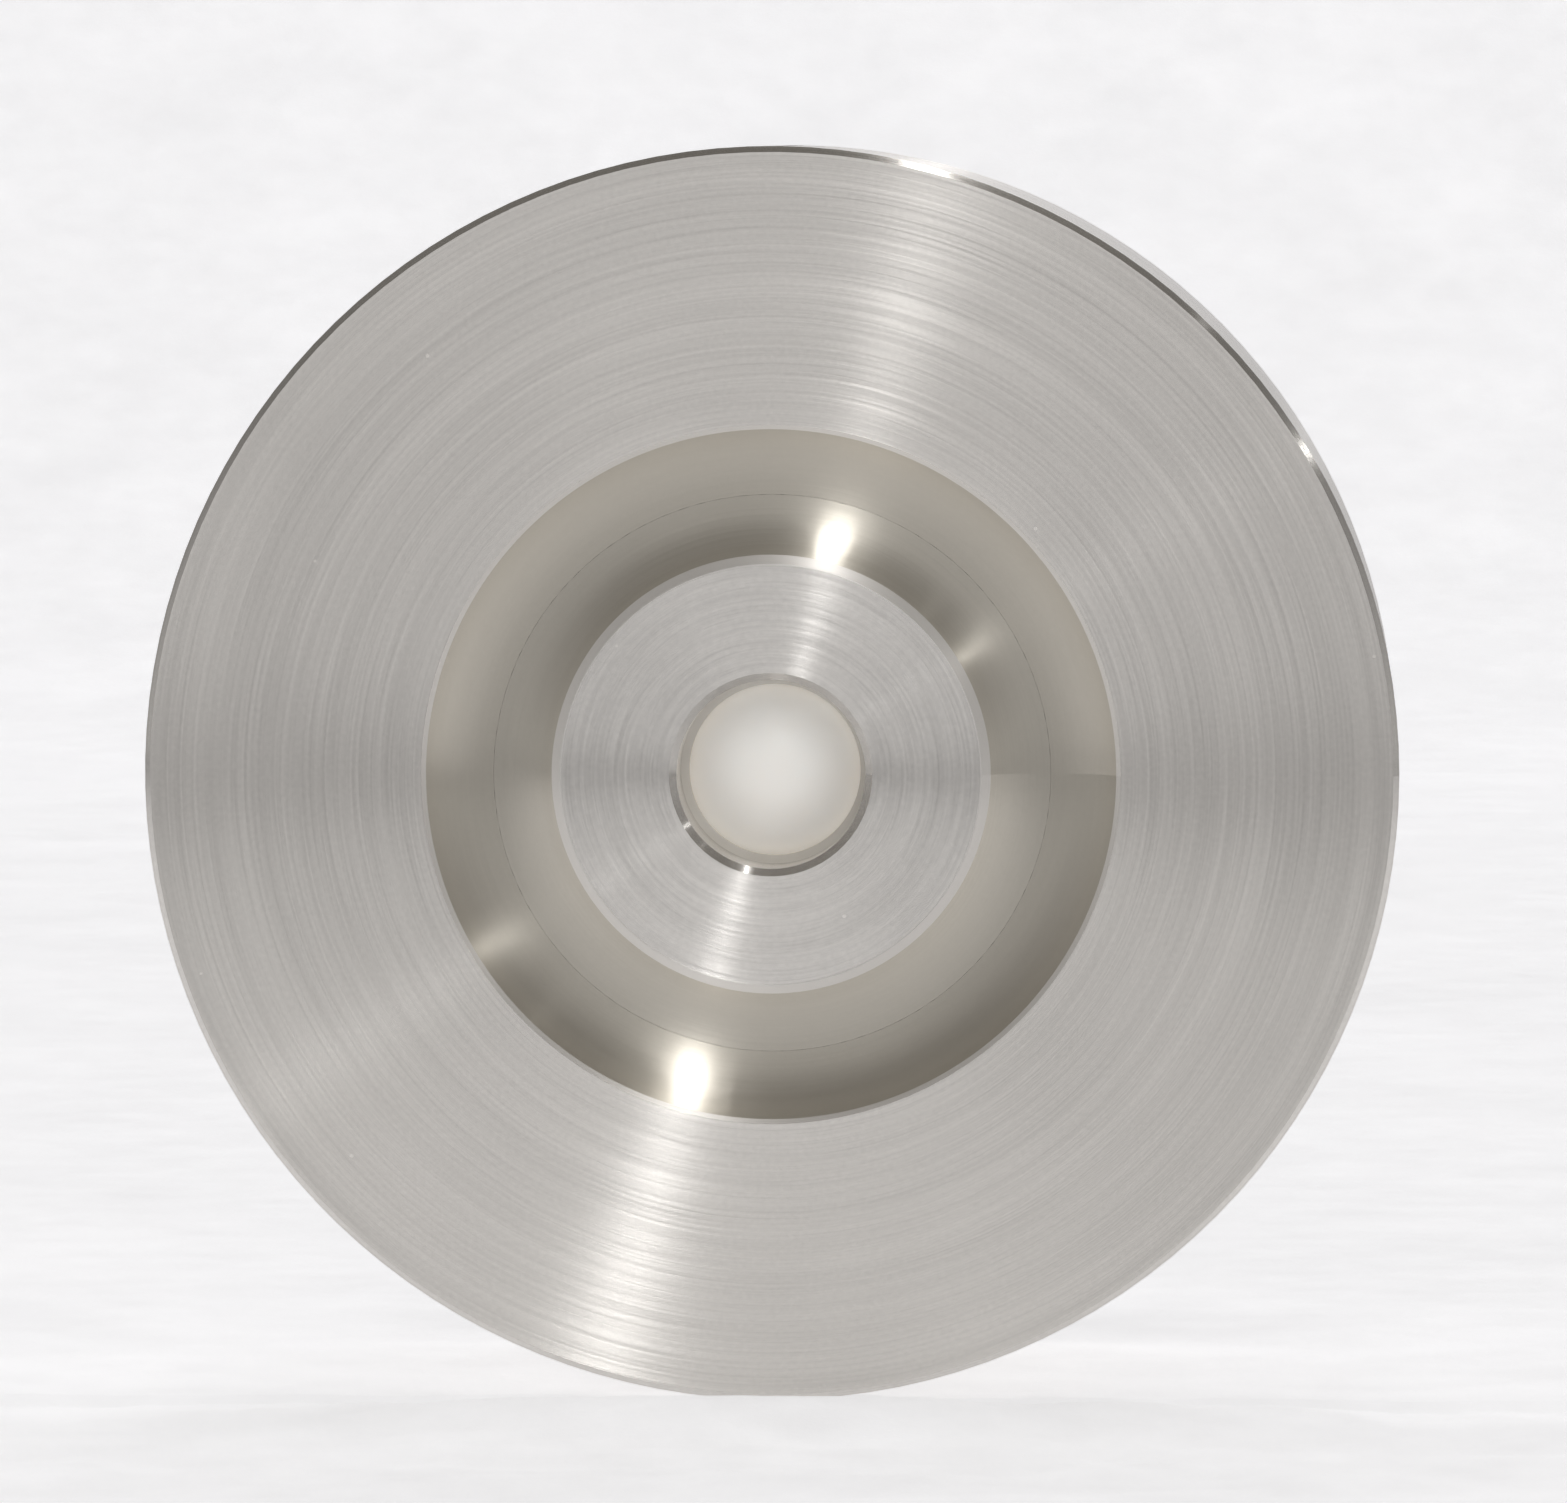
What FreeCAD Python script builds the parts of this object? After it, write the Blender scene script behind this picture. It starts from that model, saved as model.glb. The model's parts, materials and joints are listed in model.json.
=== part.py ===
"""Spring-loaded ball check valve, wafer pattern, for a DN 15 pipe. Lengths are in millimetres.

The flow axis is Y. The valve is turned from bar and stands between two pipe flanges: the inlet face looks along -Y,
the outlet face along +Y, and the origin is where the flow axis meets the inlet face.

The pieces are stacked in from the outlet side: the seat nozzle lands on the body's shoulder, then come the chamber
sleeve, the guide cage, a wave washer and a retaining ring.
"""

import FreeCAD
import Part

import math
import os

# ---- Body ----
BODY_DIAMETER = 53.0
FACE_TO_FACE = 25.0
RIM_CHAMFER = 0.25
CHAMBER_DIAMETER = 30.0
CHAMBER_MOUTH_CHAMFER = 0.5
SHOULDER_DEPTH = 4.8  # inlet face to the shoulder that carries the seat nozzle

# ---- Inlet face: round-bottomed gasket groove round a raised centre land ----
GROOVE_OUTER_DIAMETER = 29.5
LAND_DIAMETER = 17.7
GROOVE_DEPTH = 1.45
GROOVE_EDGE_CHAMFER = 0.15
LAND_RECESS = 0.1
LAND_CHAMFER = 0.35
PORT_DIAMETER = 8.0
PORT_CHAMFER = 0.3

# ---- Seat nozzle ----
NOZZLE_FLANGE_LENGTH = 4.5
SLIDE_CLEARANCE = 0.05  # radial, of every piece that slides into the body
NECK_CLEARANCE = 0.01  # radial, where the nozzle's joint with the body shows in the gasket groove
NOZZLE_SEAL_GROOVE_WIDTH = 2.4
NOZZLE_SEAL_GROOVE_DEPTH = 1.4
O_RING_SQUEEZED_WIDTH = 1.95
O_RING_GAP = 0.01  # between the squeezed ring and the faces that hold it
SEAT_RING_DIAMETER = 14.4
SEAT_RING_LENGTH = 2.4
SEAT_LIP = 0.475  # from the ring's bore out to the circle that the ball closes on
SEAT_RETAINER_DIAMETER = 16.4
SEAT_RETAINER_LENGTH = 2.7
SEAT_RETAINER_CLEARANCE = 0.64  # round the ball
SEAT_RETAINER_FLARE = 30.0  # half angle of its bore, degrees
SPANNER_SLOT_WIDTH = 1.6
SPANNER_SLOT_DEPTH = 1.0

# ---- Ball and its seat ----
BALL_DIAMETER = 9.525
SEAT_LAND = 0.4
SEAT_HALF_ANGLE = 30.0
CONTACT_GAP = 0.03  # between the ball and whatever it rests on

# ---- Ball cup and guide stem ----
LIFT = 2.2
CUP_HALF_ANGLE = 45.0
CUP_CONE_MARGIN = 0.63  # from the circle that the ball touches out to the cup's mouth
CUP_WALL = 0.9
CUP_RELIEF_DIAMETER = 3.8
CUP_RELIEF_GAP = 0.4  # behind the ball
CUP_FLOOR = 1.1
CUP_CHAMFER = 0.3
STEM_DIAMETER = 4.0
STEM_SPIGOT_DIAMETER = 2.4
STEM_CHAMFER = 0.4
STEM_END_MARGIN = 0.3  # stem end to outlet face with the ball fully lifted

# ---- Return spring ----
SPRING_WIRE = 0.45
SPRING_SIDE_CLEARANCE = 0.3  # round the stop sleeve
SPRING_TURNS = 4.5
SPRING_DEAD_TURNS = 1.0  # closed turns at each end
SPRING_END_GAP = 0.01

# ---- Stop sleeve and spring washer ----
STOP_SLEEVE_CLEARANCE = 0.2  # round the stem
STOP_SLEEVE_WALL = 0.5
SPRING_WASHER_MARGIN = 0.6  # outside the spring
SPRING_WASHER_THICKNESS = 0.4

# ---- Guide cage and bush ----
CAGE_RING_WIDTH = 2.3
CAGE_RING_THICKNESS = 2.2
CAGE_HUB_WALL = 1.37
CAGE_HUB_LENGTH = 3.8
CAGE_HUB_SETBACK = 0.4  # hub front behind the ring front
CAGE_ARMS = 4
CAGE_ARM_WIDTH = 2.2
CAGE_ARM_FILLET = 0.9
CAGE_EDGE_CHAMFER = 0.25
BUSH_WALL = 1.0
BUSH_FLANGE_WIDTH = 0.97
BUSH_FLANGE_THICKNESS = 0.4
STEM_RUNNING_CLEARANCE = 0.03

# ---- Chamber sleeve ----
SLEEVE_WALL = 1.55
SLEEVE_CHAMFER = 0.3

# ---- Retaining ring and wave washer ----
RING_EDGE_MARGIN = 2.1  # outlet face to the ring's groove
RING_GROOVE_WIDTH = 1.3
RING_GROOVE_DEPTH = 0.7
RING_THICKNESS = 1.2
RING_WIDTH = 2.5
RING_ECCENTRICITY = 0.5
RING_GAP_ANGLE = 34.0
RING_LUG_RADIUS = 1.75
RING_LUG_HOLE_DIAMETER = 2.0
RING_LUG_INSET = 2.7  # lug centre inside the ring's outer edge
WAVE_HEIGHT = 0.5
WAVE_THICKNESS = 0.25
WAVE_WIDTH = 1.7
WAVE_COUNT = 3
WAVE_GAP = 0.02

# ---- Turned gasket grip on the outlet face: V-shaped rings ----
GRIP_INNER_MARGIN = 1.5  # from the chamber's mouth to the first ring
GRIP_OUTER_MARGIN = 2.0  # at least this much plain face outside the last ring
GRIP_PITCH = 0.8
GRIP_DEPTH = 0.12

# ---- Flow arrow on the rim ----
ARROW_LENGTH = 13.0
ARROW_SHAFT_WIDTH = 1.5
ARROW_HEAD_LENGTH = 4.5
ARROW_HEAD_WIDTH = 4.6
ARROW_DEPTH = 0.25

# ---- Radii that more than one piece uses ----
body_radius = BODY_DIAMETER / 2
chamber_radius = CHAMBER_DIAMETER / 2
slide_radius = chamber_radius - SLIDE_CLEARANCE
groove_mean_radius = (GROOVE_OUTER_DIAMETER + LAND_DIAMETER) / 4
groove_half_width = (GROOVE_OUTER_DIAMETER - LAND_DIAMETER) / 4
groove_arc_radius = (groove_half_width**2 + GROOVE_DEPTH**2) / (2 * GROOVE_DEPTH)
groove_arc_depth = GROOVE_DEPTH - groove_arc_radius  # depth of the arc's centre
port_radius = PORT_DIAMETER / 2
ball_radius = BALL_DIAMETER / 2
seat_angle = math.radians(SEAT_HALF_ANGLE)
seat_bore_radius = ball_radius * math.cos(seat_angle) - SEAT_LIP
cup_angle = math.radians(CUP_HALF_ANGLE)
cup_touch_radius = ball_radius * math.cos(cup_angle)
cup_mouth_radius = cup_touch_radius + CUP_CONE_MARGIN
stem_radius = STEM_DIAMETER / 2
bush_bore_radius = stem_radius + STEM_RUNNING_CLEARANCE
bush_radius = bush_bore_radius + BUSH_WALL
hub_radius = bush_radius + CAGE_HUB_WALL
stop_sleeve_bore_radius = stem_radius + STOP_SLEEVE_CLEARANCE
stop_sleeve_radius = stop_sleeve_bore_radius + STOP_SLEEVE_WALL
spring_inner_radius = stop_sleeve_radius + SPRING_SIDE_CLEARANCE
spring_outer_radius = spring_inner_radius + SPRING_WIRE
cage_ring_bore_radius = slide_radius - CAGE_RING_WIDTH
ring_seat_radius = chamber_radius + RING_GROOVE_DEPTH

# ---- Stations along the flow axis, from the inlet face ----
nozzle_back = SHOULDER_DEPTH + NOZZLE_FLANGE_LENGTH
seat_floor = nozzle_back - SEAT_RETAINER_LENGTH - SEAT_RING_LENGTH
seat_cone_start = seat_floor + SEAT_LAND
ball_centre = (
    seat_cone_start
    + SEAT_LIP / math.tan(seat_angle)
    + ball_radius * math.sin(seat_angle)
    + CONTACT_GAP / math.sin(seat_angle)
)
ring_back = FACE_TO_FACE - RING_EDGE_MARGIN
ring_front = ring_back - RING_THICKNESS
cage_back = ring_front - WAVE_HEIGHT
cage_front = cage_back - CAGE_RING_THICKNESS
hub_front = cage_front + CAGE_HUB_SETBACK
hub_back = hub_front + CAGE_HUB_LENGTH
bush_front = hub_front - BUSH_FLANGE_THICKNESS
washer_front = bush_front - SPRING_WASHER_THICKNESS
cup_relief_floor = ball_centre + ball_radius + CUP_RELIEF_GAP
cup_back = cup_relief_floor + CUP_FLOOR
stop_plane = cup_back + LIFT
stem_end = FACE_TO_FACE - STEM_END_MARGIN - LIFT


def vec(x, y, z=0.0):
    return FreeCAD.Vector(x, y, z)


def line(a, b):
    return Part.LineSegment(vec(*a), vec(*b)).toShape()


def arc(a, middle, b):
    return Part.Arc(vec(*a), vec(*middle), vec(*b)).toShape()


def polyline(points):
    return [line(a, b) for a, b in zip(points, points[1:])]


def turned(edges):
    """A solid of revolution about the flow axis, from the closed outline of its half section in (radius, y)."""
    return Part.Face(Part.Wire(edges)).revolve(vec(0, 0), vec(0, 1), 360)


def turned_outline(points):
    return turned(polyline(points + points[:1]))


def tube(inner, outer, front, back, chamfer=0.0):
    c = chamfer
    return turned_outline(
        [
            (inner + c, front),
            (outer - c, front),
            (outer, front + c),
            (outer, back - c),
            (outer - c, back),
            (inner + c, back),
            (inner, back - c),
            (inner, front + c),
        ]
        if c
        else [(inner, front), (outer, front), (outer, back), (inner, back)]
    )


def along_y(radius, front, back):
    return Part.makeCylinder(radius, back - front, vec(0, front), vec(0, 1))


def groove_radius(depth, side):
    """Radius of the gasket groove's wall at a depth below the inlet face: side is 1 for outer, -1 for inner."""
    return groove_mean_radius + side * math.sqrt(
        groove_arc_radius**2 - (depth - groove_arc_depth) ** 2
    )


def groove_depth(radius):
    return groove_arc_depth + math.sqrt(
        groove_arc_radius**2 - (radius - groove_mean_radius) ** 2
    )


def groove_flank(radius_from, radius_to):
    """The stretch of the groove's arc between two radii."""
    middle = (radius_from + radius_to) / 2
    return arc(*[(r, groove_depth(r)) for r in (radius_from, middle, radius_to)])


def flow_arrow():
    """A shallow arrow, pointing from inlet to outlet, cut into the top of the rim."""
    tail = (FACE_TO_FACE - ARROW_LENGTH) / 2
    tip = tail + ARROW_LENGTH
    neck = tip - ARROW_HEAD_LENGTH
    half_shaft = ARROW_SHAFT_WIDTH / 2
    half_head = ARROW_HEAD_WIDTH / 2
    right = [(half_shaft, tail), (half_shaft, neck), (half_head, neck), (0, tip)]
    left = [(-x, y) for x, y in reversed(right[:-1])]
    outline = [vec(x, y, 0) for x, y in right + left + right[:1]]
    prism = Part.Face(Part.makePolygon(outline)).extrude(vec(0, 0, BODY_DIAMETER))
    skin = tube(body_radius - ARROW_DEPTH, body_radius + ARROW_DEPTH, 0, FACE_TO_FACE)
    return prism.common(skin)


def grip_outline():
    """Points of the V-shaped rings across the outlet face, from the outermost ring inwards."""
    first = chamber_radius + CHAMBER_MOUTH_CHAMFER + GRIP_INNER_MARGIN
    last = body_radius - RIM_CHAMFER - GRIP_OUTER_MARGIN
    points = []
    for i in reversed(range(int((last - first) / GRIP_PITCH) + 1)):
        radius = first + i * GRIP_PITCH
        points.append((radius + GRIP_DEPTH, FACE_TO_FACE))
        points.append((radius, FACE_TO_FACE - GRIP_DEPTH))
        points.append((radius - GRIP_DEPTH, FACE_TO_FACE))
    return points


def body():
    neck_bore = groove_mean_radius + NECK_CLEARANCE / 2
    edge = groove_radius(GROOVE_EDGE_CHAMFER, 1)
    groove_front = ring_back - RING_GROOVE_WIDTH
    outline = polyline(
        [
            (edge, GROOVE_EDGE_CHAMFER),
            (edge + GROOVE_EDGE_CHAMFER, 0),
            (body_radius - RIM_CHAMFER, 0),
            (body_radius, RIM_CHAMFER),
            (body_radius, FACE_TO_FACE - RIM_CHAMFER),
            (body_radius - RIM_CHAMFER, FACE_TO_FACE),
            *grip_outline(),
            (chamber_radius + CHAMBER_MOUTH_CHAMFER, FACE_TO_FACE),
            (chamber_radius, FACE_TO_FACE - CHAMBER_MOUTH_CHAMFER),
            (chamber_radius, ring_back),
            (ring_seat_radius, ring_back),
            (ring_seat_radius, groove_front),
            (chamber_radius, groove_front),
            (chamber_radius, SHOULDER_DEPTH),
            (neck_bore, SHOULDER_DEPTH),
            (neck_bore, groove_depth(neck_bore)),
        ]
    )
    outline.append(groove_flank(neck_bore, edge))
    return turned(outline).cut(flow_arrow())


def seat_nozzle():
    neck = groove_mean_radius - NECK_CLEARANCE / 2
    land_edge_depth = LAND_RECESS + LAND_CHAMFER
    land_edge = groove_radius(land_edge_depth, -1)
    seal_front = SHOULDER_DEPTH + (NOZZLE_FLANGE_LENGTH - NOZZLE_SEAL_GROOVE_WIDTH) / 2
    seal_back = seal_front + NOZZLE_SEAL_GROOVE_WIDTH
    seal_floor = slide_radius - NOZZLE_SEAL_GROOVE_DEPTH
    seat_pocket = SEAT_RING_DIAMETER / 2
    retainer_pocket = SEAT_RETAINER_DIAMETER / 2
    seat_back = seat_floor + SEAT_RING_LENGTH
    outline = polyline(
        [
            (neck, groove_depth(neck)),
            (neck, SHOULDER_DEPTH),
            (slide_radius, SHOULDER_DEPTH),
            (slide_radius, seal_front),
            (seal_floor, seal_front),
            (seal_floor, seal_back),
            (slide_radius, seal_back),
            (slide_radius, nozzle_back),
            (retainer_pocket, nozzle_back),
            (retainer_pocket, seat_back),
            (seat_pocket, seat_back),
            (seat_pocket, seat_floor),
            (port_radius, seat_floor),
            (port_radius, LAND_RECESS + PORT_CHAMFER),
            (port_radius + PORT_CHAMFER, LAND_RECESS),
            (land_edge - LAND_CHAMFER, LAND_RECESS),
            (land_edge, land_edge_depth),
        ]
    )
    outline.append(groove_flank(land_edge, neck))
    return turned(outline)


def nozzle_o_ring():
    """The nozzle's seal as it sits squeezed in its groove: flat sides with round edges."""
    inner = slide_radius - NOZZLE_SEAL_GROOVE_DEPTH + O_RING_GAP
    outer = chamber_radius - O_RING_GAP
    round_radius = (outer - inner) / 2
    middle_radius = (outer + inner) / 2
    middle = SHOULDER_DEPTH + NOZZLE_FLANGE_LENGTH / 2
    half_flat = O_RING_SQUEEZED_WIDTH / 2 - round_radius
    front, back = middle - half_flat, middle + half_flat
    return turned(
        [
            line((inner, front), (inner, back)),
            arc((inner, back), (middle_radius, back + round_radius), (outer, back)),
            line((outer, back), (outer, front)),
            arc((outer, front), (middle_radius, front - round_radius), (inner, front)),
        ]
    )


def soft_seat():
    seat_back = seat_floor + SEAT_RING_LENGTH
    cone_back = seat_bore_radius + (seat_back - seat_cone_start) * math.tan(seat_angle)
    return turned_outline(
        [
            (seat_bore_radius, seat_floor),
            (SEAT_RING_DIAMETER / 2, seat_floor),
            (SEAT_RING_DIAMETER / 2, seat_back),
            (cone_back, seat_back),
            (seat_bore_radius, seat_cone_start),
        ]
    )


def seat_retainer():
    front = nozzle_back - SEAT_RETAINER_LENGTH
    bore_front = ball_radius + SEAT_RETAINER_CLEARANCE
    flare = math.tan(math.radians(SEAT_RETAINER_FLARE))
    bore_back = bore_front + SEAT_RETAINER_LENGTH * flare
    outer = SEAT_RETAINER_DIAMETER / 2
    ring = turned_outline(
        [
            (bore_front, front),
            (outer, front),
            (outer, nozzle_back),
            (bore_back, nozzle_back),
        ]
    )
    slot = Part.makeBox(
        SEAT_RETAINER_DIAMETER,
        SPANNER_SLOT_DEPTH,
        SPANNER_SLOT_WIDTH,
        vec(-outer, nozzle_back - SPANNER_SLOT_DEPTH, -SPANNER_SLOT_WIDTH / 2),
    )
    return ring.cut(slot)


def ball():
    return Part.makeSphere(ball_radius, vec(0, ball_centre))


def ball_cup():
    """A cup that holds the back of the ball in a cone, with a flat back for the spring and the stop."""
    apex = ball_centre + (ball_radius + CONTACT_GAP) / math.sin(cup_angle)
    relief_radius = CUP_RELIEF_DIAMETER / 2
    spigot_radius = STEM_SPIGOT_DIAMETER / 2
    mouth = apex - cup_mouth_radius / math.tan(cup_angle)
    outer = cup_mouth_radius + CUP_WALL
    return turned_outline(
        [
            (cup_mouth_radius, mouth),
            (outer - CUP_CHAMFER, mouth),
            (outer, mouth + CUP_CHAMFER),
            (outer, cup_back - CUP_CHAMFER),
            (outer - CUP_CHAMFER, cup_back),
            (spigot_radius, cup_back),
            (spigot_radius, cup_relief_floor),
            (relief_radius, cup_relief_floor),
            (relief_radius, apex - relief_radius / math.tan(cup_angle)),
        ]
    )


def guide_stem():
    spigot_radius = STEM_SPIGOT_DIAMETER / 2
    return turned_outline(
        [
            (0, cup_relief_floor),
            (spigot_radius, cup_relief_floor),
            (spigot_radius, cup_back),
            (stem_radius, cup_back),
            (stem_radius, stem_end - STEM_CHAMFER),
            (stem_radius - STEM_CHAMFER, stem_end),
            (0, stem_end),
        ]
    )


def return_spring():
    """A compression spring with a closed, ground turn at each end."""
    steps_per_turn = 16
    front = cup_back + SPRING_END_GAP
    length = washer_front - SPRING_END_GAP - front
    steps = round(SPRING_TURNS * steps_per_turn)
    dead_pitch = SPRING_WIRE * 1.06
    dead_steps = SPRING_DEAD_TURNS * steps_per_turn
    active_turns = SPRING_TURNS - 2 * SPRING_DEAD_TURNS
    active_pitch = (length - 2 * SPRING_DEAD_TURNS * dead_pitch) / active_turns
    mean_radius = (spring_inner_radius + spring_outer_radius) / 2
    points, height = [], 0.0
    for i in range(steps + 1):
        angle = 2 * math.pi * i / steps_per_turn
        points.append(
            vec(mean_radius * math.cos(angle), height, mean_radius * math.sin(angle))
        )
        closed = i < dead_steps or i >= steps - dead_steps
        height += (dead_pitch if closed else active_pitch) / steps_per_turn
    path = Part.BSplineCurve()
    path.interpolate(points)
    path = path.toShape()
    path.translate(vec(0, front))
    start = path.Vertexes[0].Point
    tangent = path.tangentAt(path.FirstParameter)
    section = Part.Wire(Part.makeCircle(SPRING_WIRE / 2, start, tangent))
    coil = Part.Wire(path).makePipeShell([section], True, True)
    ground = along_y(spring_outer_radius + SPRING_WIRE, front, front + length)
    return coil.common(ground)


def stop_sleeve():
    return tube(stop_sleeve_bore_radius, stop_sleeve_radius, stop_plane, washer_front)


def spring_washer():
    outer = spring_outer_radius + SPRING_WASHER_MARGIN
    return tube(stop_sleeve_bore_radius, outer, washer_front, bush_front)


def guide_bush():
    flange = bush_radius + BUSH_FLANGE_WIDTH
    return turned_outline(
        [
            (bush_bore_radius, bush_front),
            (flange, bush_front),
            (flange, hub_front),
            (bush_radius, hub_front),
            (bush_radius, hub_back),
            (bush_bore_radius, hub_back),
        ]
    )


def guide_cage():
    """A ring and a hub joined by arms, with rounded corners in the flow windows."""
    ring = tube(cage_ring_bore_radius, slide_radius, cage_front, cage_back)
    hub = along_y(hub_radius, hub_front, hub_back)
    reach = (cage_ring_bore_radius + slide_radius) / 2
    cage = ring.fuse(hub)
    for i in range(CAGE_ARMS):
        arm = Part.makeBox(
            reach,
            cage_back - hub_front,
            CAGE_ARM_WIDTH,
            vec(0, hub_front, -CAGE_ARM_WIDTH / 2),
        )
        arm.rotate(vec(0, 0), vec(0, 1), 360 / CAGE_ARMS * (i + 0.5))
        cage = cage.fuse(arm)
    cage = cage.removeSplitter()
    corners = [e for e in cage.Edges if is_window_corner(e)]
    cage = cage.makeFillet(CAGE_ARM_FILLET, corners)
    hub_edge = [e for e in cage.Edges if is_ring_edge(e, hub_radius, hub_back)]
    cage = cage.makeChamfer(CAGE_EDGE_CHAMFER, hub_edge)
    return cage.cut(along_y(bush_radius, hub_front, hub_back))


def is_window_corner(edge):
    """True for a straight edge along Y where an arm meets the hub or the ring."""
    if not isinstance(edge.Curve, (Part.Line, Part.LineSegment)):
        return False
    a, b = (v.Point for v in edge.Vertexes)
    radius = math.hypot(a.x, a.z)
    on_wall = min(abs(radius - hub_radius), abs(radius - cage_ring_bore_radius)) < 1e-3
    return on_wall and math.hypot(a.x - b.x, a.z - b.z) < 1e-6


def is_ring_edge(edge, radius, station):
    """True for a circle of this radius about the flow axis at this station."""
    curve = edge.Curve
    return (
        isinstance(curve, Part.Circle)
        and abs(curve.Radius - radius) < 1e-6
        and abs(curve.Center.y - station) < 1e-6
    )


def chamber_sleeve():
    inner = slide_radius - SLEEVE_WALL
    return tube(inner, slide_radius, nozzle_back, cage_front, SLEEVE_CHAMFER)


def wave_washer():
    """A thin washer whose height rises and falls round its rim."""
    outer = slide_radius - (CAGE_RING_WIDTH - WAVE_WIDTH) / 2
    inner = outer - WAVE_WIDTH
    swing = (WAVE_HEIGHT - WAVE_THICKNESS) / 2 - WAVE_GAP
    middle = cage_back + (WAVE_HEIGHT - WAVE_THICKNESS) / 2
    samples = 16 * WAVE_COUNT

    def wavy_circle(radius):
        points = []
        for i in range(samples):
            angle = 2 * math.pi * i / samples
            height = middle + swing * math.cos(WAVE_COUNT * angle)
            points.append(
                vec(radius * math.cos(angle), height, radius * math.sin(angle))
            )
        curve = Part.BSplineCurve()
        curve.interpolate(points, PeriodicFlag=True)
        return curve.toShape()

    sheet = Part.makeRuledSurface(wavy_circle(inner), wavy_circle(outer))
    return sheet.extrude(vec(0, WAVE_THICKNESS))


def retaining_ring():
    """An internal retaining ring: narrower towards its gap, with a drilled lug each side of it."""
    outer = ring_seat_radius - SLIDE_CLEARANCE
    inner = outer - RING_WIDTH
    disc = along_y(outer, ring_front, ring_back)
    opening = along_y(inner, ring_front, ring_back)
    opening.translate(vec(0, 0, RING_ECCENTRICITY))
    ring = disc.cut(opening)
    half_gap = math.radians(RING_GAP_ANGLE / 2)
    reach = 2 * outer
    wedge_points = [
        vec(0, ring_front, 0),
        vec(reach * math.sin(half_gap), ring_front, reach * math.cos(half_gap)),
        vec(-reach * math.sin(half_gap), ring_front, reach * math.cos(half_gap)),
    ]
    wedge = Part.Face(Part.makePolygon(wedge_points + wedge_points[:1]))
    ring = ring.cut(wedge.extrude(vec(0, RING_THICKNESS)))
    lug_centre_radius = outer - RING_LUG_INSET
    lug_angle = half_gap + RING_LUG_RADIUS / lug_centre_radius
    for side in (-1, 1):
        x = side * lug_centre_radius * math.sin(lug_angle)
        z = lug_centre_radius * math.cos(lug_angle)
        lug = along_y(RING_LUG_RADIUS, ring_front, ring_back)
        lug.translate(vec(x, 0, z))
        hole = along_y(RING_LUG_HOLE_DIAMETER / 2, ring_front, ring_back)
        hole.translate(vec(x, 0, z))
        ring = ring.fuse(lug.common(disc)).cut(hole)
    return ring.removeSplitter()


PIECES = [
    body,
    seat_nozzle,
    nozzle_o_ring,
    soft_seat,
    seat_retainer,
    ball,
    ball_cup,
    guide_stem,
    return_spring,
    stop_sleeve,
    spring_washer,
    guide_bush,
    guide_cage,
    chamber_sleeve,
    wave_washer,
    retaining_ring,
]


def main():
    os.makedirs("parts", exist_ok=True)
    for piece in PIECES:
        shape = piece()
        if shape.ShapeType == "Compound" and len(shape.Solids) == 1:
            shape = shape.Solids[0]
        if not shape.isValid() or not shape.Solids or shape.Volume <= 0:
            raise ValueError(f"{piece.__name__} isn't a sound solid")
        shape.exportStep(f"parts/{piece.__name__}.step")
        print(f"{piece.__name__}: {len(shape.Solids)} solid, {shape.Volume:.1f} mm3")


main()
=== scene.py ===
import json
import math

import bmesh
import bpy
from mathutils import Matrix, Vector, noise

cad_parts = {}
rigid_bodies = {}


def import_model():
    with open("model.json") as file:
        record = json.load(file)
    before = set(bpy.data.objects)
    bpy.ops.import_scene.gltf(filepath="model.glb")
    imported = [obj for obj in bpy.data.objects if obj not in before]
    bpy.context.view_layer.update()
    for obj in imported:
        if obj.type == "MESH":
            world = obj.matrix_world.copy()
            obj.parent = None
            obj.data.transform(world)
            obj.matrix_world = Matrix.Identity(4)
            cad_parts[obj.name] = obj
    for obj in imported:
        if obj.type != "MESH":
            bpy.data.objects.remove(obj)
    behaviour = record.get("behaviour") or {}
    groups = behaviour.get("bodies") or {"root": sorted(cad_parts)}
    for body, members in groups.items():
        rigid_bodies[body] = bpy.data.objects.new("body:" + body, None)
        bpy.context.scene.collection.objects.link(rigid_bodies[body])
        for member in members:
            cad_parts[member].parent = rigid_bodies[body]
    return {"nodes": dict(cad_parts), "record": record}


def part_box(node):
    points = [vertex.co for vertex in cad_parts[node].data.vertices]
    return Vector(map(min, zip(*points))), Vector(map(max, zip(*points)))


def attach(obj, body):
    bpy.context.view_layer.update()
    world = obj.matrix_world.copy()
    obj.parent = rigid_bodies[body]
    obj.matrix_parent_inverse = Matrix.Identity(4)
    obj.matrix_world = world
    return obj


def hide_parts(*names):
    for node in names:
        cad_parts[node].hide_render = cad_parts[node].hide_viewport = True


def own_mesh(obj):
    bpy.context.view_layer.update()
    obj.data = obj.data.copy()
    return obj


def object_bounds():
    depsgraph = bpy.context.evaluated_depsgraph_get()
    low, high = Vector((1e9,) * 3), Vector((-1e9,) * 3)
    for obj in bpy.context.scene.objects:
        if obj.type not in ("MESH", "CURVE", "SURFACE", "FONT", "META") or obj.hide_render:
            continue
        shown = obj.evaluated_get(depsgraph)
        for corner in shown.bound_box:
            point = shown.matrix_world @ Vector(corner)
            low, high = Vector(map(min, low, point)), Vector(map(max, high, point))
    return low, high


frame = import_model()
cad_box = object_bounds()

MM = 0.001

# ---- Where the values of a noise lie, out of 0 to 1 ----
NOISE_SPAN = (0.3, 0.7)
SHADE_SPAN = (0.38, 0.62)  # for a mean of several noises, which varies less

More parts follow.
